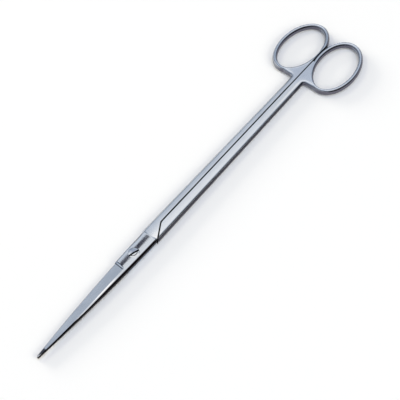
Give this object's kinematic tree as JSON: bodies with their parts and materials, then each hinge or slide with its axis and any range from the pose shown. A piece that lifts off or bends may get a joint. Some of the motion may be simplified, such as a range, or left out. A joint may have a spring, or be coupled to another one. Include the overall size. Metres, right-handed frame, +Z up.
{
  "type": "dissecting scissors",
  "caption": "Long straight surgical dissecting scissors: slim bevelled blades, a slotted screw joint, slender parallel shanks and oval finger rings",
  "frame": {"origin": "middle of the closed instrument's length and width, on the plane it lies on", "axes": "+X runs from the tips to the finger rings, +Z is up, and +Y is the side of the upper half's ring"},
  "size_m": [0.25, 0.0472, 0.0042],
  "materials": {
    "upper_steel": "satin",
    "lower_steel": "satin",
    "screw_steel": "polished"
  },
  "bodies": {
    "lower": {"lower_half": "lower_steel", "joint_screw": "screw_steel"},
    "upper": {"upper_half": "upper_steel"}
  },
  "joints": [
    {"name": "scissor_joint", "type": "hinge", "parent": "lower", "child": "upper", "pos_m": [-0.0513, 0, 0.0021], "axis": [0, 0, 1], "range_deg": [0, 60]}
  ]
}
